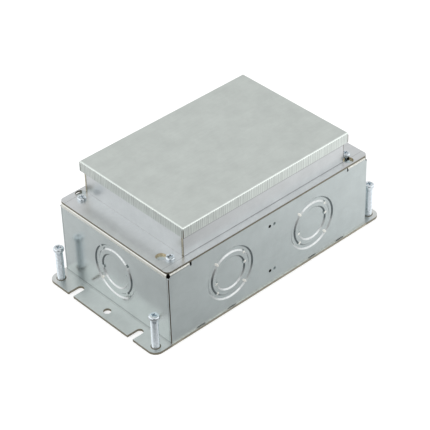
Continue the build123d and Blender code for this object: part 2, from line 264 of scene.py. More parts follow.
class Studio(bpy.types.PropertyGroup):
    """Light and floor."""

    right_power: FloatProperty(name="Right softbox", default=4.6, min=0.0,
                               description="Power of the soft lamp at the front right")
    left_power: FloatProperty(name="Left softbox", default=4.4, min=0.0,
                              description="Power of the soft lamp at the rear left")
    sky: FloatProperty(name="Sky", description="Strength of the soft light all round",
                       default=0.78, min=0.0)
    shade: FloatProperty(name="Shade", default=0.15, min=0.0,
                         description="Strength of the sky on the camera's side")
    left_glow: FloatProperty(name="Left glow", default=0.5, min=0.0,
                             description="Strength of the low soft light left of the camera")
    right_glow: FloatProperty(name="Right glow", default=0.2, min=0.0,
                              description="Strength of the low soft light right of it")
    floor: colour("Floor", "Paper that the box stands on", "#DCDCDC")
    dim_floor: colour("Dim floor", "Paper as metal mirrors it on the camera's side", "#848484")
    seen_lift: FloatProperty(name="Floor lift", default=0.55, min=0.0,
                             description="White added to the floor where the camera sees it")
    mirrored_lift: FloatProperty(name="Mirrored lift", default=0.38, min=0.0,
                                 description="White added to the floor in reflections")


def add_node(tree, kind, inputs=None, **settings):
    """A node with its settings and with its sockets set or linked.

    A socket is named, or numbered where a node has several of one name. Of sockets with
    one name, the one that the settings leave in use is taken.
    """
    node = tree.nodes.new(kind)
    for key, value in settings.items():
        setattr(node, key, value)
    for key, value in (inputs or {}).items():
        if isinstance(value, bpy.types.Node):
            value = next(socket for socket in value.outputs if socket.enabled)
        target = node.inputs[key] if isinstance(key, int) else next(
            socket for socket in node.inputs if socket.name == key and socket.enabled)
        if isinstance(value, bpy.types.NodeSocket):
            tree.links.new(value, target)
        else:
            target.default_value = value
    return node


def new_material(name):
    """An empty node material and its tree."""
    material = bpy.data.materials.new(name)
    material.use_nodes = True
    material.node_tree.nodes.clear()
    return material, material.node_tree


def dress(obj, material):
    """Puts one material in every slot of an object."""
    if not obj.material_slots:
        obj.data.materials.append(material)
    for material_slot in obj.material_slots:
        material_slot.material = material


def region_mask(tree, regions):
    """1 inside any region.

    A region limits |x|, |y|, |z| in metres, the normal's |parts| as u, v, w, or x as s.
    """
    coordinates = add_node(tree, "ShaderNodeTexCoord")
    signed = add_node(tree, "ShaderNodeSeparateXYZ", {0: coordinates.outputs["Object"]})
    parts = {"s": signed.outputs["X"]}
    for letters, socket in (("xyz", "Object"), ("uvw", "Normal")):
        plain = add_node(tree, "ShaderNodeVectorMath", {0: coordinates.outputs[socket]},
                         operation="ABSOLUTE")
        split = add_node(tree, "ShaderNodeSeparateXYZ", {0: plain})
        parts.update(zip(letters, split.outputs))
    total = None
    for limits in regions:
        inside = None
        for letter, (low, high) in limits.items():
            test = add_node(tree, "ShaderNodeMath", {
                0: parts[letter], 1: (low + high) / 2, 2: (high - low) / 2,
            }, operation="COMPARE")
            inside = test if inside is None else add_node(
                tree, "ShaderNodeMath", {0: inside, 1: test}, operation="MULTIPLY")
        total = inside if total is None else add_node(
            tree, "ShaderNodeMath", {0: total, 1: inside}, operation="MAXIMUM")
    return total


def zinc_sheet(name, base, finish, edges, painted_shading=(), streaks=None, sheen=(0.20, 0.23)):
    """Hot-dip galvanised sheet steel, as rolled and folded.

    The coat gives the eye an even grey with faint crystals and clouds, a soft sheen that
    mirrors near things blurred, and dull lines where the sheet was sheared. Each edge is a
    pair of regions and colour: most are the cut edges' own colours, some are painted
    highlight or painted shadow. Each painted shading is a pair of regions and a factor that
    darkens them as painted shade or lightens them as painted light, and the sheen is the
    roughness where the clouds are darkest and palest.
    """
    material, tree = new_material(name)
    place = add_node(tree, "ShaderNodeTexCoord").outputs["Object"]
    # Crystals of the coat: each cell a slightly different grey
    crystals = add_node(tree, "ShaderNodeTexVoronoi", {
        "Vector": place, "Scale": 1 / finish.spangle, "Randomness": 1.0})
    crystal = add_node(tree, "ShaderNodeSeparateColor", {0: crystals.outputs["Color"]})
    clouds = add_node(tree, "ShaderNodeTexNoise", {
        "Vector": place, "Scale": 1 / finish.mottle, "Detail": 3.0, "Roughness": 0.55})
    # Rolling lines run along the sheet; finer ones in the real coat don't show at this size
    drawn_out = add_node(tree, "ShaderNodeMapping", {
        "Vector": place, "Scale": (0.03, 1.0, 1.0)})
    lines = add_node(tree, "ShaderNodeTexNoise", {
        "Vector": drawn_out, "Scale": 1 / finish.rolling, "Detail": 2.0})
    crystal_shade = add_node(tree, "ShaderNodeMapRange", {
        "Value": crystal, "To Min": 0.985, "To Max": 1.015})
    cloud_shade = add_node(tree, "ShaderNodeMapRange", {
        "Value": clouds, **NOISE_SPAN, "To Min": 0.955, "To Max": 1.045})
    line_shade = add_node(tree, "ShaderNodeMapRange", {
        "Value": lines, **NOISE_SPAN, "To Min": 0.985, "To Max": 1.015})
    shades = [cloud_shade, line_shade]
    if streaks:
        shades.append(streaks(tree, place, finish))
    # Painted shade or painted light: each region is darkened or lightened by its factor
    for regions, painted_factor in painted_shading:
        shades.append(add_node(tree, "ShaderNodeMapRange", {
            "Value": region_mask(tree, regions), "To Min": 1.0, "To Max": painted_factor}))
    shade = crystal_shade
    for other in shades:
        shade = add_node(tree, "ShaderNodeMath", {0: shade, 1: other}, operation="MULTIPLY")
    tint = add_node(tree, "ShaderNodeVectorMath", {0: base[:3], "Scale": shade},
                    operation="SCALE")
    roughness = add_node(tree, "ShaderNodeMapRange", {
        "Value": clouds, **NOISE_SPAN, "To Min": sheen[0], "To Max": sheen[1]})
    # Edges: where the sheet was sheared the coat is gone or thin, dull, grained and warmer; edge
    # colours that are painted highlight or painted shadow get the same grain and dullness
    grain = add_node(tree, "ShaderNodeTexNoise", {
        "Vector": place, "Scale": 1 / (1.2 * MM), "Detail": 3.0})
    worn = add_node(tree, "ShaderNodeMapRange", {
        "Value": grain, **NOISE_SPAN, "To Min": 0.8, "To Max": 1.2})
    for regions, edge_colour in edges:
        edge = region_mask(tree, regions)
        edge_tint = add_node(tree, "ShaderNodeVectorMath", {0: edge_colour[:3], "Scale": worn},
                        operation="SCALE")
        tint = add_node(tree, "ShaderNodeMix", {"Factor": edge, "A": tint, "B": edge_tint},
                        data_type="VECTOR")
        roughness = add_node(tree, "ShaderNodeMapRange", {
            "Value": edge, "To Min": roughness, "To Max": BARE_ROUGHNESS})
    bump = add_node(tree, "ShaderNodeBump", {
        "Height": lines, "Strength": 0.2, "Distance": 0.006 * MM})
    shader = add_node(tree, "ShaderNodeBsdfPrincipled", {
        "Base Color": tint, "Metallic": 1.0, "Roughness": roughness, "Normal": bump})
    add_node(tree, "ShaderNodeOutputMaterial", {"Surface": shader})
    return material


def rim_marks(tree, place, finish):
    """Shade of the upright drawing marks on the lid's rim: close, fairly even dark lines."""
    parts = add_node(tree, "ShaderNodeSeparateXYZ", {0: place})
    along = add_node(tree, "ShaderNodeMath", {0: parts.outputs["X"], 1: parts.outputs["Y"]},
                     operation="ADD")
    # The spacing wanders a little from line to line
    wander = add_node(tree, "ShaderNodeTexNoise", {
        "W": along, "Scale": 1 / (2.6 * finish.striation), "Detail": 1.0},
        noise_dimensions="1D")
    shifted = add_node(tree, "ShaderNodeMath", {
        0: wander, 1: 0.8 * finish.striation, 2: along}, operation="MULTIPLY_ADD")
    turns = add_node(tree, "ShaderNodeMath", {
        0: shifted, 1: 2 * pi / finish.striation}, operation="MULTIPLY")
    wave = add_node(tree, "ShaderNodeMath", {0: turns}, operation="SINE")
    light = add_node(tree, "ShaderNodeMapRange", {
        "Value": wave, "From Min": -1.0, "From Max": 0.1, "To Min": 0.76, "To Max": 0.99})
    strength = add_node(tree, "ShaderNodeMapRange", {
        "Value": wander, **NOISE_SPAN, "To Min": 1.06, "To Max": 0.98})
    light = add_node(tree, "ShaderNodeMath", {0: light, 1: strength}, operation="MULTIPLY")
    side = region_mask(tree, [{"w": (0.0, 0.6)}])
    return add_node(tree, "ShaderNodeMapRange", {"Value": side, "To Min": 1.0, "To Max": light})


def zinc_plate(name, base):
    """Bright zinc plate on a steel screw: a blue-white mirror with soft handling marks."""
    material, tree = new_material(name)
    place = add_node(tree, "ShaderNodeTexCoord").outputs["Object"]
    clouds = add_node(tree, "ShaderNodeTexNoise", {
        "Vector": place, "Scale": 1 / (1.5 * MM), "Detail": 3.0})
    shade = add_node(tree, "ShaderNodeMapRange", {
        "Value": clouds, **NOISE_SPAN, "To Min": 0.9, "To Max": 1.08})
    plate = add_node(tree, "ShaderNodeVectorMath", {0: base[:3], "Scale": shade},
                     operation="SCALE")
    rough = add_node(tree, "ShaderNodeMapRange", {
        "Value": clouds, **NOISE_SPAN, "To Min": 0.07, "To Max": 0.14})
    shader = add_node(tree, "ShaderNodeBsdfPrincipled", {
        "Base Color": plate, "Metallic": 1.0, "Roughness": rough})
    add_node(tree, "ShaderNodeOutputMaterial", {"Surface": shader})
    return material


def punched_zinc(name, finish, wall):
    """Zinc beside a half-sheared circle.

    Where the slope looks up the zinc is painted lighter as a painted highlight; on one side
    of each ring, where it looks sideways, it is painted dark, partly shear marks and partly
    painted shade. The swellings that stand out of the walls, whose half sizes are given, are
    painted near white as a painted highlight.
    """
    material, tree = new_material(name)
    coordinates = add_node(tree, "ShaderNodeTexCoord")
    facing = add_node(tree, "ShaderNodeSeparateXYZ", {0: coordinates.outputs["Normal"]})
    # On every wall this product is positive on one side of the ring, which is painted dark:
    # partly shear marks, partly painted shade
    sideways = add_node(tree, "ShaderNodeMath", {
        0: facing.outputs["X"], 1: facing.outputs["Y"]}, operation="MULTIPLY")
    painted_shade_side = add_node(tree, "ShaderNodeMapRange", {
        "Value": sideways, "From Min": 0.12, "From Max": 0.36},
        interpolation_type="SMOOTHSTEP")
    # Painted highlight where the slope looks up
    painted = add_node(tree, "ShaderNodeMapRange", {
        "Value": facing.outputs["Z"], "From Min": 0.05, "From Max": 0.28},
        interpolation_type="SMOOTHSTEP")
    sunken = region_mask(tree, [{"x": (0.0, wall[0]), "y": (0.0, wall[1])}])
    grain = add_node(tree, "ShaderNodeTexNoise", {
        "Vector": coordinates.outputs["Object"], "Scale": 1 / (1.5 * MM), "Detail": 3.0})
    shade = add_node(tree, "ShaderNodeMapRange", {
        "Value": grain, **NOISE_SPAN, "To Min": 0.88, "To Max": 1.08})
    tint = add_node(tree, "ShaderNodeMix", {
        "Factor": painted_shade_side, "A": finish.zinc[:3], "B": finish.punched[:3]}, data_type="VECTOR")
    tint = add_node(tree, "ShaderNodeMix", {
        "Factor": painted, "A": tint, "B": finish.painted_lip_highlight[:3]}, data_type="VECTOR")
    # Painted highlight: the swellings that stand out of the walls are near white
    tint = add_node(tree, "ShaderNodeMix", {
        "Factor": sunken, "A": finish.swelling[:3], "B": tint}, data_type="VECTOR")
    tint = add_node(tree, "ShaderNodeVectorMath", {0: tint, "Scale": shade}, operation="SCALE")
    rough = add_node(tree, "ShaderNodeMapRange", {
        "Value": grain, "To Min": 0.24, "To Max": 0.34})
    shader = add_node(tree, "ShaderNodeBsdfPrincipled", {
        "Base Color": tint, "Metallic": 1.0, "Roughness": rough})
    add_node(tree, "ShaderNodeOutputMaterial", {"Surface": shader})
    return material


def bare_steel(name, base):
    """Cut steel of a burr: brown, rough and without the coat's sheen."""
    material, tree = new_material(name)
    place = add_node(tree, "ShaderNodeTexCoord").outputs["Object"]
    grain = add_node(tree, "ShaderNodeTexNoise", {
        "Vector": place, "Scale": 1 / (0.8 * MM), "Detail": 3.0})
    shade = add_node(tree, "ShaderNodeMapRange", {
        "Value": grain, **NOISE_SPAN, "To Min": 0.7, "To Max": 1.2})
    tint = add_node(tree, "ShaderNodeVectorMath", {0: base[:3], "Scale": shade},
                    operation="SCALE")
    shader = add_node(tree, "ShaderNodeBsdfPrincipled", {
        "Base Color": tint, "Metallic": 1.0, "Roughness": BARE_ROUGHNESS})
    add_node(tree, "ShaderNodeOutputMaterial", {"Surface": shader})
    return material


def only(obj):
    """Object mode, with one object and nothing else selected, and active."""
    if bpy.context.mode != "OBJECT":
        bpy.ops.object.mode_set(mode="OBJECT")
    bpy.ops.object.select_all(action="DESELECT")
    obj.select_set(True)
    bpy.context.view_layer.objects.active = obj


def settle(obj):
    """Gives the mesh its place, turn and scale, which leaves the object at the origin."""
    only(obj)
    bpy.ops.object.transform_apply(location=True, rotation=True, scale=True)
    return obj


def copy_of(pattern, name):
    """A copy of a pattern, under a name of its own."""
    only(pattern)
    bpy.ops.object.duplicate(linked=False)
    piece = bpy.context.object
    piece.name = name
    return piece


def pick(obj, kind, test):
    """Edit mode with just those elements selected whose centre passes the test."""
    only(obj)
    bpy.ops.object.mode_set(mode="EDIT")
    bpy.ops.mesh.select_mode(type=kind)
    bpy.ops.mesh.select_all(action="DESELECT")
    bpy.ops.object.mode_set(mode="OBJECT")
    mesh = obj.data
    if kind == "VERT":
        for vertex in mesh.vertices:
            vertex.select = test(vertex.co)
    elif kind == "EDGE":
        for edge in mesh.edges:
            ends = [mesh.vertices[i].co for i in edge.vertices]
            edge.select = all(test(end) for end in ends)
    else:
        for face in mesh.polygons:
            face.select = test(face.center)
    bpy.ops.object.mode_set(mode="EDIT")


def apply_modifier(obj, kind, **settings):
    """Adds a modifier with its settings and applies it."""
    only(obj)
    modifier = obj.modifiers.new(kind.title(), kind)
    for key, value in settings.items():
        setattr(modifier, key, value)
    bpy.ops.object.modifier_apply(modifier=modifier.name)


def threaded_shank(radius, pitch, bottom, top, sides):
    """A closed rod round the Z axis with a real helical thread and a tapered tip."""
    depth = THREAD_DEPTH * pitch
    bpy.ops.mesh.primitive_plane_add(size=pitch, rotation=(pi / 2, 0, 0))
    shank = settle(bpy.context.object)
    pick(shank, "VERT", lambda co: co.x > 0)
    bpy.ops.mesh.delete(type="VERT")
    bpy.ops.mesh.select_all(action="SELECT")
    bpy.ops.mesh.subdivide(number_cuts=4)
    bpy.ops.transform.translate(value=(radius - depth + pitch / 2, 0, bottom - pitch / 2))
    only(shank)
    root = radius - 0.5 * depth
    middle = bottom - pitch / 2
    pick(shank, "VERT", lambda co: abs(co.z - middle) < 0.25 * pitch)
    bpy.ops.transform.translate(value=(depth, 0, 0))
    only(shank)
    turns = int((top - bottom) / pitch) + 3
    apply_modifier(shank, "SCREW", angle=2 * pi, screw_offset=pitch, iterations=turns,
                   steps=sides, render_steps=sides, use_merge_vertices=True,
                   merge_threshold=0.01 * pitch, use_normal_calculate=True)
    for level, outward in ((bottom, False), (top, True)):
        pick(shank, "VERT", lambda co: True)
        bpy.ops.mesh.remove_doubles(threshold=0.005 * MM)
        bpy.ops.mesh.select_all(action="SELECT")
        bpy.ops.mesh.bisect(plane_co=(0, 0, level), plane_no=(0, 0, 1), use_fill=True,
                            clear_inner=not outward, clear_outer=outward,
                            threshold=0.0001 * MM)
        only(shank)
    pick(shank, "VERT", lambda co: co.z < bottom + 0.01 * MM)
    taper = root / radius * TIP_TAPER
    bpy.ops.transform.resize(value=(taper, taper, 1), center_override=(0, 0, bottom))
    only(shank)
    pick(shank, "VERT", lambda co: True)
    bpy.ops.mesh.normals_make_consistent(inside=False)
    only(shank)
    return shank


def wing(reach, width, bottom, top):
    """One tapered wing of the recess cutter, across the Z axis."""
    bpy.ops.mesh.primitive_cube_add(size=1.0, location=(0, 0, (bottom + top) / 2),
                                    scale=(2 * reach, width, top - bottom))
    cutter = settle(bpy.context.object)
    pick(cutter, "VERT", lambda co: co.z < (bottom + top) / 2)
    bpy.ops.transform.resize(value=RECESS_TAPER, center_override=(0, 0, bottom))
    only(cutter)
    return cutter


def cut(obj, cutter):
    """Takes the cutter's shape out of the object and removes the cutter."""
    apply_modifier(obj, "BOOLEAN", operation="DIFFERENCE", object=cutter, solver="MANIFOLD")
    bpy.data.objects.remove(cutter)


def pan_head(radius, bottom, height):
    """A pan head with a rounded shoulder, a low crown and a tapered cross recess."""
    top, wall = bottom + height, HEAD_WALL * height
    bpy.ops.mesh.primitive_cylinder_add(vertices=48, radius=radius, depth=wall,
                                        location=(0, 0, bottom + wall / 2))
    head = settle(bpy.context.object)
    shelf = bottom + wall
    pick(head, "EDGE", lambda co: co.z > shelf - 0.01 * MM)
    bpy.ops.mesh.bevel(offset=HEAD_ROUNDING * height, segments=7, profile=0.55,
                       affect="EDGES")
    only(head)
    pick(head, "EDGE", lambda co: co.z < bottom + 0.01 * MM)
    bpy.ops.mesh.bevel(offset=HEAD_LOWER_EDGE * height, segments=2, affect="EDGES")
    only(head)
    pick(head, "FACE", lambda co: co.z > shelf - 0.01 * MM)
    bpy.ops.mesh.inset(thickness=CROWN_SLOPE * radius)
    bpy.ops.transform.translate(value=(0, 0, top - shelf))
    only(head)
    for angle in (0.0, pi / 2):
        cutter = wing(RECESS_REACH * radius, RECESS_WIDTH * radius,
                      top - RECESS_DEPTH * height, top + 0.2 * height)
        cutter.rotation_euler.z = angle
        cut(head, cutter)
    return head


def join_solids(body, other):
    """Unites two closed shells into one."""
    apply_modifier(body, "BOOLEAN", operation="UNION", object=other, solver="MANIFOLD")
    bpy.data.objects.remove(other)
    pick(body, "VERT", lambda co: True)
    bpy.ops.mesh.remove_doubles(threshold=0.002 * MM)
    bpy.ops.mesh.dissolve_degenerate(threshold=0.001 * MM)
    only(body)


def screw_pattern(box, thread, pitch, height, sides):
    """A screw with a pan head, as wide and high as its node's box, round the Z axis."""
    low, high = box
    seat = high.z - height
    shank = threaded_shank(thread / 2, pitch, low.z, seat + 0.2 * MM, sides)
    head = pan_head((high.x - low.x) / 2, seat, height)
    join_solids(head, shank)
    return head


def screw_places(kind):
    """Corner name and the middle of the floor under the screw, for four of a kind."""
    boxes = [(corner, *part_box(f"{kind}_{corner}")) for corner in CORNERS]
    return [(corner, ((low.x + high.x) / 2, (low.y + high.y) / 2, 0))
            for corner, low, high in boxes]


def stand_copies(pattern, kind, turns, body_of_corner, material):
    """Copies of a screw modelled round the Z axis, each in its node's place."""
    for (corner, place), turn in zip(screw_places(kind), turns):
        piece = copy_of(pattern, f"{kind}_{corner}_detail")
        piece.location = place
        piece.rotation_euler.z = radians(turn)
        settle(piece)
        bpy.ops.object.shade_smooth_by_angle(angle=SMOOTH_ANGLE)
        dress(piece, material)
        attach(piece, body_of_corner(corner))
        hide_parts(f"{kind}_{corner}")
    bpy.data.objects.remove(pattern)


class FLOORBOX_OT_sheet_metal(bpy.types.Operator):
    """Gives the plate, box, cover frame, lid and divider their galvanised finish"""

    bl_idname = "floorbox.sheet_metal"
    bl_label = "Sheet metal finish"

    def execute(self, context):
        finish = context.scene.floorbox_sheet
        body_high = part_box("box_body")[1]
        frame_low, frame_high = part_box("cover_frame")
        lid_low, lid_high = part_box("lid")
        plate_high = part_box("base_plate")[1]
        frame_top = frame_low.z + SHEET
        upright = {"w": (-0.1, 0.5)}
        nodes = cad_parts

        lip = {"w": (0.5, 1.1), "x": (0.0, body_high.x), "y": (body_high.y + 0.1 * MM, FAR)}
        flange_edge = dict(upright, x=(body_high.x + 0.2 * MM, FAR))
        dress(nodes["base_plate"], zinc_sheet(
            "galvanised plate", finish.plate, finish,
            [([upright], finish.worn_edge), ([flange_edge], finish.sheared),
             ([lip], finish.fold)],
            sheen=(0.34, 0.40)))

        seam = {"x": (body_high.x - 0.7 * MM, FAR), "y": (body_high.y - 1.7 * MM, FAR)}
        # Painted shadow: the sides of the left nub of each pair, the slits at the walls' feet and
        # the notches at the corners lie inside the sheet, out of the light, and are painted
        # nearly black
        skin = 0.05 * MM
        sheet = (body_high.y - SHEET + skin, body_high.y - skin)
        notch = {"x": (body_high.x - 2 * MM, body_high.x - skin),
                 "y": (body_high.y - 4 * MM, body_high.y - skin),
                 "z": (body_high.z - 3.6 * MM, body_high.z - skin)}
        dark_painted_nubs = {"s": (-6 * MM, 0.0), "y": sheet, "z": (8 * MM, body_high.z - 5 * MM)}
        slits = {"x": (0.0, body_high.x - 5 * MM), "y": sheet,
                 "z": (0.0, plate_high.z + 0.8 * MM)}
        # Painted shade along the bottom of the end walls, just over the base plate
        painted_foot_shade = {"x": (body_high.x - 0.1 * MM, FAR),
                "z": (plate_high.z, plate_high.z + 1.2 * MM)}
        # Painted highlight: the bends of the long walls' tabs take the lighter fold zinc
        tab_bend_highlight = {"y": (body_high.y - 4 * MM, FAR), "z": (body_high.z - 6 * MM, FAR),
               "v": (0.2, 0.97), "w": (0.2, 0.97)}
        dress(nodes["box_body"], zinc_sheet(
            "galvanised box", finish.zinc, finish,
            [([dict(seam, u=(0.4, 0.9))], finish.dark_edge), ([tab_bend_highlight], finish.fold),
             ([dark_painted_nubs, slits, notch], finish.shadow)],
            [([painted_foot_shade], 0.74)]))

        # Painted shade: a dark line along the collar's base just over the frame, and a painted
        # shadow on the collar's long sides under the lid's rim
        collar_base_shade = {"z": (frame_top - 0.02 * MM, frame_top + 0.45 * MM)}
        flap_end = {"u": ALONG, "x": (COLLAR_X - 0.1 * MM, FAR),
                    "y": (COLLAR_Y - SHEET, FAR), "z": (frame_top, FAR)}
        flap_edge = {"v": ALONG, "x": (COLLAR_X - 0.4 * MM, COLLAR_X + 0.1 * MM),
                     "z": (frame_top, FAR)}
        flap_top = {"w": ALONG, "z": (frame_high.z - 0.1 * MM, FAR)}
        # The keyholes' walls are painted pale: partly the cut edge's own colour, partly painted
        # light
        keyholes = dict(upright, x=(82 * MM, FRAME_X), y=(0.0, FRAME_Y), z=(0.0, frame_top))
        outside = [dict(upright, x=(FRAME_X, FAR), z=(0.0, frame_top)),
                   dict(upright, y=(FRAME_Y, FAR), z=(0.0, frame_top))]
        dress(nodes["cover_frame"], zinc_sheet(
            "galvanised frame", finish.collar, finish,
            [(outside, finish.sheared), ([keyholes], finish.bright_edge),
             ([flap_end], finish.pale_edge), ([flap_edge, flap_top], finish.dark_edge)],
            [([dict(collar_base_shade, x=(COLLAR_X - 0.1 * MM, COLLAR_X + 0.1 * MM))], 0.8),
             ([dict(collar_base_shade, y=(COLLAR_Y - 0.1 * MM, COLLAR_Y + 0.1 * MM))], 0.38),
             ([{"v": ALONG, "z": (lid_low.z - 3.4 * MM, FAR)}], 0.72)],
            sheen=(0.32, 0.36)))

        rim = {"w": (0.7, 1.1), "z": (0.0, lid_low.z + 0.1 * MM)}
        corner = {"v": ALONG, "x": (lid_high.x - 0.7 * MM, FAR),
                  "z": (lid_low.z, lid_high.z - 2 * MM)}
        dress(nodes["lid"], zinc_sheet(
            "galvanised lid", finish.lid, finish,
            [([rim], finish.pale_edge), ([corner], finish.dark_edge)],
            # Painted light on the rim's long sides, and a painted highlight along the lid's
            # rounded top edges
            [([{"v": (0.7, 1.1)}], 1.18),
             ([{"w": (0.25, 0.97), "z": (lid_high.z - 2 * MM, FAR)}], 1.15)],
            streaks=rim_marks, sheen=(0.38, 0.42)))

        dress(nodes["divider"], zinc_sheet(
            "galvanised divider", finish.zinc, finish,
            [([{"u": (-0.1, 0.5)}], finish.sheared)]))
        return {"FINISHED"}


def spun_ring(corners, steps):
    """A section with four corners (distance from the Z axis, height), spun right round it."""
    bpy.ops.mesh.primitive_plane_add(size=1.0, rotation=(pi / 2, 0, 0))
    ring = settle(bpy.context.object)
    signs = ((-1, 1), (1, 1), (1, -1), (-1, -1))
    for (across, upward), (reach, height) in zip(signs, corners):
        # Corners that have moved stand much nearer the axis than those that haven't
        pick(ring, "VERT",
             lambda co: co.x * across > 0 and co.z * upward > 0 and abs(co.x) > 0.1)
        bpy.ops.transform.translate(
            value=(reach - 0.5 * across, 0, height - 0.5 * upward))
        only(ring)
    pick(ring, "VERT", lambda co: True)
    bpy.ops.mesh.delete(type="ONLY_FACE")
    bpy.ops.mesh.select_all(action="SELECT")
    bpy.ops.mesh.spin(steps=steps, angle=2 * pi, center=(0, 0, 0), axis=(0, 0, 1))
    bpy.ops.mesh.select_all(action="SELECT")
    bpy.ops.mesh.remove_doubles(threshold=0.0005 * MM)
    bpy.ops.mesh.normals_make_consistent(inside=False)
    only(ring)
    return ring


def joined(pieces):
    """One object made of several."""
    only(pieces[0])
    for piece in pieces[1:]:
        piece.select_set(True)
    bpy.ops.object.join()
    return bpy.context.object


class FLOORBOX_OT_knockout_lips(bpy.types.Operator):
    """Models the sloping lips of one knockout's sheared rings and sets them in six walls"""

    bl_idname = "floorbox.knockout_lips"
    bl_label = "Knockout lips"

    def execute(self, context):
        sizes = context.scene.floorbox_knockouts
        finish = context.scene.floorbox_sheet
        material = punched_zinc("punched zinc", finish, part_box("box_body")[1])
        walls = self.walls(sizes)
        ends = {name: walls.pop(name) for name in ("left_end", "right_end")}
        middle, bridge = (sizes.outer + sizes.middle) / 4, (sizes.outer - sizes.middle) / 4
        bridge += PAD_MARGIN
        pads = [(middle, angle, bridge) for angle in OUTER_BRIDGES]
        pads += [(sizes.middle / 2, angle, sizes.tie / 2) for angle in MIDDLE_BRIDGES]
        pads += [(sizes.inner / 2, angle, sizes.tie / 2) for angle in INNER_BRIDGES]
        end_pads = [(middle, angle, bridge) for angle in END_WALL_BRIDGES]
        for lip, swellings, places in ((sizes.lip, pads, walls), (sizes.end_lip, end_pads, ends)):
            pattern = self.knockout(sizes, lip, swellings)
            for name, frame_of_wall in places.items():
                piece = copy_of(pattern, f"knockout_lips_{name}")
                piece.matrix_world = frame_of_wall
                settle(piece)
                bpy.ops.object.shade_smooth_by_angle(angle=SMOOTH_ANGLE)
                dress(piece, material)
                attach(piece, "box")
            bpy.data.objects.remove(pattern)
        return {"FINISHED"}

    def knockout(self, sizes, lip, swellings):
        """The three sloping lips and the swellings on their bridges, round the Z axis."""
        rings = ((sizes.outer / 2, -lip), (sizes.middle / 2, lip), (sizes.inner / 2, -lip))
        pieces = []
        for radius, run in rings:
            back = -LIP_BACK * sizes.step
            corners = [(radius, 0.0), (radius + run, -sizes.step), (radius + run, back),
                       (radius, back)]
            pieces.append(spun_ring(corners, 72))
        pieces += [self.pad(reach, angle, half, sizes) for reach, angle, half in swellings]
        return joined(pieces)

    def pad(self, reach, angle, half, sizes):
        """The swelling that the punch leaves on a bridge."""
        bpy.ops.mesh.primitive_uv_sphere_add(
            segments=20, ring_count=16, radius=1.0, location=(reach, 0, -sizes.pad),
            scale=(1.15 * half, 0.5 * sizes.tie, 2 * sizes.pad))
        swelling = settle(bpy.context.object)
        swelling.rotation_euler.z = radians(angle)
        return settle(swelling)

    def walls(self, sizes):
        """The frame of each knockout: Z out of its wall, X along the wall."""
        low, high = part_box("box_body")
        height = (low.z + high.z) / 2
        half = sizes.pitch / 2
        places = {}
        for name, x in (("left", -half), ("right", half)):
            places[f"front_{name}"] = ((x, low.y, height), (1, 0, 0), (0, -1, 0))
            places[f"rear_{name}"] = ((x, high.y, height), (-1, 0, 0), (0, 1, 0))
        places["left_end"] = ((low.x, 0, height), (0, -1, 0), (-1, 0, 0))
        places["right_end"] = ((high.x, 0, height), (0, 1, 0), (1, 0, 0))
        frames = {}
        for name, (place, along, out) in places.items():
            along, out = Vector(along), Vector(out)
            turn = Matrix((along, out.cross(along), out)).transposed().to_4x4()
            frames[name] = Matrix.Translation(place) @ turn
        return frames


class FLOORBOX_OT_end_folds(bpy.types.Operator):
    """Models the swollen fold under the cover frame at the top of each end wall"""

    bl_idname = "floorbox.end_folds"
    bl_label = "End folds"

    def execute(self, context):
        sizes = context.scene.floorbox_folds
        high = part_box("box_body")[1]
        reach = high.y - sizes.set_back
        finish = context.scene.floorbox_sheet
        # Painted highlight: the end folds take the lighter fold zinc
        material = zinc_sheet("galvanised fold", finish.fold, finish, [], sheen=(0.28, 0.34))
        crown = high.z - sizes.crown
        for name, side in (("left", -1), ("right", 1)):
            bpy.ops.mesh.primitive_cylinder_add(
                vertices=64, radius=sizes.radius, depth=2 * reach, rotation=(pi / 2, 0, 0),
                location=(side * (high.x + sizes.swell - sizes.radius), 0, crown))
            fold = settle(bpy.context.object)
            # Below its crown the swelling runs out gently into the wall
            pick(fold, "VERT", lambda co: co.z < crown - 0.01 * MM)
            bpy.ops.transform.resize(value=(1, 1, FOLD_RUN_OUT),
                                     center_override=(0, 0, crown))
            only(fold)
            fold.name = f"end_fold_{name}"
            bpy.ops.object.shade_smooth_by_angle(angle=FOLD_SMOOTH_ANGLE)
            dress(fold, material)
            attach(fold, "box")
        return {"FINISHED"}


class FLOORBOX_OT_tapped_holes(bpy.types.Operator):
    """Models the brown burr that tapping leaves round the levelling screws' holes"""

    bl_idname = "floorbox.tapped_holes"
    bl_label = "Tapped holes"

    def execute(self, context):
        sizes = context.scene.floorbox_screws
        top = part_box("base_plate")[1].z
        crest, sunk = top + sizes.burr_height, top - BURR_SINK
        inner = sizes.level_thread / 2 + BURR_GAP
        outer = inner + sizes.burr_width
        corners = [(inner, crest), (outer - BURR_SLOPE, crest), (outer, sunk), (inner, sunk)]
        pattern = spun_ring(corners, 40)
        material = bare_steel("tapped steel burr", context.scene.floorbox_sheet.sheared)
        for corner, place in screw_places("levelling_screw"):
            piece = copy_of(pattern, f"thread_burr_{corner}")
            piece.location = place
            settle(piece)
            bpy.ops.object.shade_smooth_by_angle(angle=SMOOTH_ANGLE)
            dress(piece, material)
            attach(piece, "box")
        bpy.data.objects.remove(pattern)
        return {"FINISHED"}


class FLOORBOX_OT_levelling_screws(bpy.types.Operator):
    """Models one levelling screw with its thread and stands it in the four corners"""

    bl_idname = "floorbox.levelling_screws"
    bl_label = "Levelling screws"

    def execute(self, context):
        sizes = context.scene.floorbox_screws
        pattern = screw_pattern(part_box("levelling_screw_front_left"), sizes.level_thread,
                                sizes.level_pitch, sizes.level_head, sides=28)
        plate = zinc_plate("zinc plated screw", context.scene.floorbox_plating.zinc_plate)
        stand_copies(pattern, "levelling_screw", LEVEL_TURNS,
                     lambda corner: f"levelling_screw_{corner}", plate)
        return {"FINISHED"}


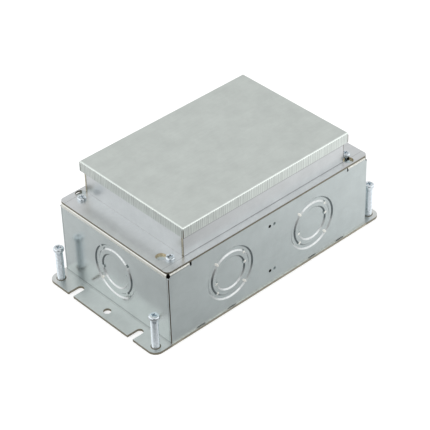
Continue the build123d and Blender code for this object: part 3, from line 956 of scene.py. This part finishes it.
class FLOORBOX_OT_cover_screws(bpy.types.Operator):
    """Models one cover screw and puts it in the four keyholes"""

    bl_idname = "floorbox.cover_screws"
    bl_label = "Cover screws"

    def execute(self, context):
        sizes = context.scene.floorbox_screws
        pattern = screw_pattern(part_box("cover_screw_front_left"), sizes.cover_thread,
                                sizes.cover_pitch, sizes.cover_head, sides=24)
        plate = zinc_plate("zinc plated cover screw",
                           context.scene.floorbox_plating.zinc_plate)
        stand_copies(pattern, "cover_screw", COVER_TURNS, lambda corner: "box", plate)
        return {"FINISHED"}


class FLOORBOX_OT_ground_screw(bpy.types.Operator):
    """Models the green hexagon screw on the raised pad in the floor"""

    bl_idname = "floorbox.ground_screw"
    bl_label = "Ground screw"

    def execute(self, context):
        sizes = context.scene.floorbox_screws
        low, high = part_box("ground_screw")
        middle = (low + high) / 2
        seat = high.z - sizes.ground_head
        corner = max(high.x - low.x, high.y - low.y) / 2
        shank = threaded_shank(sizes.ground_thread / 2, sizes.ground_pitch, low.z,
                               seat + 0.2 * MM, sides=24)
        bpy.ops.mesh.primitive_cylinder_add(
            vertices=6, radius=corner, depth=sizes.ground_head,
            location=(0, 0, seat + sizes.ground_head / 2))
        head = settle(bpy.context.object)
        wide_y = high.y - low.y > high.x - low.x
        pick(head, "EDGE", lambda co: co.z > high.z - 0.01 * MM)
        bpy.ops.mesh.bevel(offset=0.5 * MM, segments=3, affect="EDGES")
        only(head)
        cut(head, wing(0.9 * corner, SLOT_WIDTH, high.z - SLOT_DEPTH, high.z + 0.5 * MM))
        join_solids(head, shank)
        head.name = "ground_screw_detail"
        head.location = (middle.x, middle.y, 0)
        head.rotation_euler.z = 0.0 if wide_y else pi / 6
        settle(head)
        bpy.ops.object.shade_smooth_by_angle(angle=SMOOTH_ANGLE)
        dress(head, zinc_plate("green zinc plate",
                               context.scene.floorbox_plating.green_plate))
        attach(head, "box")
        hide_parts("ground_screw")
        return {"FINISHED"}


class FLOORBOX_OT_stage(bpy.types.Operator):
    """Makes the floor, the soft lights and the camera at the photograph's angle"""

    bl_idname = "floorbox.stage"
    bl_label = "Stage"

    def execute(self, context):
        studio = context.scene.floorbox_studio
        context.scene.view_settings.view_transform = "Standard"
        self.make_floor(studio)
        self.make_world(context.scene, studio)
        self.make_lamp("right_softbox", studio.right_power, RIGHT_LAMP)
        self.make_lamp("left_softbox", studio.left_power, LEFT_LAMP)
        self.make_camera(context.scene)
        return {"FINISHED"}

    def make_floor(self, studio):
        """A wide sheet of paper at the base plate's underside."""
        bpy.ops.mesh.primitive_plane_add(size=FLOOR_WIDTH, location=(0, 0, CAD_BOX[0].z))
        floor = settle(bpy.context.object)
        floor.name = "studio_floor"
        # Matt pressed paper: an even, pale ground without shine
        material, tree = new_material("matt paper")
        path = add_node(tree, "ShaderNodeLightPath")
        mirrored = path.outputs["Is Glossy Ray"]
        # Painted shade in reflections: metal mirrors the paper dimmer where it runs towards the
        # photographer's side
        ground = add_node(tree, "ShaderNodeTexCoord").outputs["Object"]
        leftness = add_node(tree, "ShaderNodeVectorMath", {
            0: ground, 1: FADING_SIDE}, operation="DOT_PRODUCT")
        fading = add_node(tree, "ShaderNodeMapRange", {
            "Value": leftness.outputs["Value"], **MIRROR_FADE,
            "To Min": studio.mirrored_lift,
            "To Max": FADED_SHARE * studio.mirrored_lift})
        seen = add_node(tree, "ShaderNodeMath", {
            0: path.outputs["Is Camera Ray"], 1: studio.seen_lift}, operation="MULTIPLY")
        # Painted light in reflections: white is added to the paper under the slotted ends of the
        # base plate
        under = add_node(tree, "ShaderNodeMath", {
            0: region_mask(tree, [SLOTTED_ENDS]), 1: SLOT_LIGHT, 2: fading},
            operation="MULTIPLY_ADD")
        lift = add_node(tree, "ShaderNodeMath", {
            0: mirrored, 1: under, 2: seen}, operation="MULTIPLY_ADD")
        nearness = add_node(tree, "ShaderNodeVectorMath", {
            0: ground, 1: (*SHADE_SIDE[:2], 0.0)}, operation="DOT_PRODUCT")
        dimming = add_node(tree, "ShaderNodeMapRange", {
            "Value": nearness.outputs["Value"], **DIM_EDGE},
            interpolation_type="SMOOTHSTEP")
        dimming = add_node(tree, "ShaderNodeMath", {
            0: dimming, 1: mirrored}, operation="MULTIPLY")
        paper = add_node(tree, "ShaderNodeMix", {
            "Factor": dimming, "A": list(studio.floor), "B": list(studio.dim_floor)},
            data_type="RGBA")
        fibre = add_node(tree, "ShaderNodeTexNoise", {
            "Scale": 1 / PAPER_GRAIN, "Detail": 2.0})
        bump = add_node(tree, "ShaderNodeBump", {
            "Height": fibre, "Strength": 0.1, "Distance": 0.02 * MM})
        shader = add_node(tree, "ShaderNodeBsdfPrincipled", {
            "Base Color": paper, "Roughness": 0.9, "Normal": bump,
            "Emission Color": WHITE, "Emission Strength": lift})
        add_node(tree, "ShaderNodeOutputMaterial", {"Surface": shader})
        dress(floor, material)

    def make_world(self, scene, studio):
        """Soft light all round, dim on the camera's side, and white where it is seen."""
        world = bpy.data.worlds.new("studio")
        scene.world = world
        world.use_nodes = True
        tree = world.node_tree
        tree.nodes.clear()
        towards = add_node(tree, "ShaderNodeTexCoord").outputs["Generated"]
        facing = add_node(tree, "ShaderNodeVectorMath", {0: towards, 1: SHADE_SIDE},
                          operation="DOT_PRODUCT")
        level = add_node(tree, "ShaderNodeMapRange", {
            "Value": facing.outputs["Value"], **SHADE_CONE,
            "To Min": studio.sky, "To Max": studio.shade},
            interpolation_type="SMOOTHSTEP")
        for side, strength in ((LEFT_GLOW_SIDE, studio.left_glow),
                               (RIGHT_GLOW_SIDE, studio.right_glow)):
            facing = add_node(tree, "ShaderNodeVectorMath", {0: towards, 1: side},
                              operation="DOT_PRODUCT")
            glow = add_node(tree, "ShaderNodeMapRange", {
                "Value": facing.outputs["Value"], **GLOW_CONE,
                "To Min": 0.0, "To Max": strength}, interpolation_type="SMOOTHSTEP")
            level = add_node(tree, "ShaderNodeMath", {0: level, 1: glow}, operation="ADD")
        light = add_node(tree, "ShaderNodeBackground", {"Color": WHITE, "Strength": level})
        white = add_node(tree, "ShaderNodeBackground", {"Color": WHITE, "Strength": 1.0})
        seen = add_node(tree, "ShaderNodeLightPath").outputs["Is Camera Ray"]
        both = add_node(tree, "ShaderNodeMixShader", {0: seen, 1: light, 2: white})
        add_node(tree, "ShaderNodeOutputWorld", {"Surface": both})

    def make_lamp(self, name, power, place):
        """A tall soft lamp that stands on the floor and faces the box."""
        bpy.ops.object.light_add(type="AREA", location=place)
        lamp = bpy.context.object
        lamp.name = name
        lamp.data.energy = power
        lamp.data.shape = "RECTANGLE"
        lamp.data.size = LAMP_WIDTH
        lamp.data.size_y = 2 * place[2]
        aim = Vector((0, 0, place[2])) - Vector(place)
        lamp.rotation_euler = aim.to_track_quat("-Z", "Y").to_euler()

    def make_camera(self, scene):
        """The camera that the photograph's outline gives."""
        a, e, roll = CAMERA_AZIMUTH, CAMERA_ELEVATION, CAMERA_ROLL
        back = Vector((sin(a) * cos(e), -cos(a) * cos(e), sin(e)))
        right = Vector((0, 0, 1)).cross(back).normalized()
        up = back.cross(right)
        turned_right = cos(roll) * right + sin(roll) * up
        turned_up = cos(roll) * up - sin(roll) * right
        bpy.ops.object.camera_add()
        camera = bpy.context.object
        camera.data.sensor_width = SENSOR_WIDTH
        camera.data.lens = FOCAL_PIXELS / IMAGE_PIXELS * SENSOR_WIDTH
        camera.data.clip_end = FARTHEST_SEEN
        axes = Matrix((turned_right, turned_up, back)).transposed().to_4x4()
        camera.matrix_world = Matrix.Translation(CAMERA_PLACE) @ axes
        scene.camera = camera


class FLOORBOX_PT_panel(bpy.types.Panel):
    """Lists the steps that dress the floor box"""

    bl_idname = "FLOORBOX_PT_panel"
    bl_label = "Floor box"
    bl_space_type = "VIEW_3D"
    bl_region_type = "UI"
    bl_category = "Floor box"

    def draw(self, context):
        for group in GROUPS:
            box = self.layout.box()
            settings = getattr(context.scene, group)
            for name in settings.bl_rna.properties.keys():
                if name not in ("rna_type", "name"):
                    box.prop(settings, name)
        for step in OPERATORS:
            self.layout.operator(step.bl_idname)


GROUPS = {
    "floorbox_screws": ScrewSizes,
    "floorbox_knockouts": KnockoutSizes,
    "floorbox_folds": FoldSizes,
    "floorbox_sheet": SheetFinish,
    "floorbox_plating": ScrewFinish,
    "floorbox_studio": Studio,
}
OPERATORS = (
    FLOORBOX_OT_stage,
    FLOORBOX_OT_sheet_metal,
    FLOORBOX_OT_knockout_lips,
    FLOORBOX_OT_end_folds,
    FLOORBOX_OT_tapped_holes,
    FLOORBOX_OT_levelling_screws,
    FLOORBOX_OT_cover_screws,
    FLOORBOX_OT_ground_screw,
)


def register():
    """Makes the groups, operators and panel known."""
    for name, group in GROUPS.items():
        bpy.utils.register_class(group)
        setattr(bpy.types.Scene, name, PointerProperty(type=group))
    for step in (*OPERATORS, FLOORBOX_PT_panel):
        bpy.utils.register_class(step)


def unregister():
    """Takes them away again."""
    for step in reversed((*OPERATORS, FLOORBOX_PT_panel)):
        bpy.utils.unregister_class(step)
    for name, group in GROUPS.items():
        delattr(bpy.types.Scene, name)
        bpy.utils.unregister_class(group)


def main():
    """Runs every step in order."""
    register()
    for step in OPERATORS:
        group, name = step.bl_idname.split(".")
        getattr(getattr(bpy.ops, group), name)()


if __name__ == "__main__":
    main()
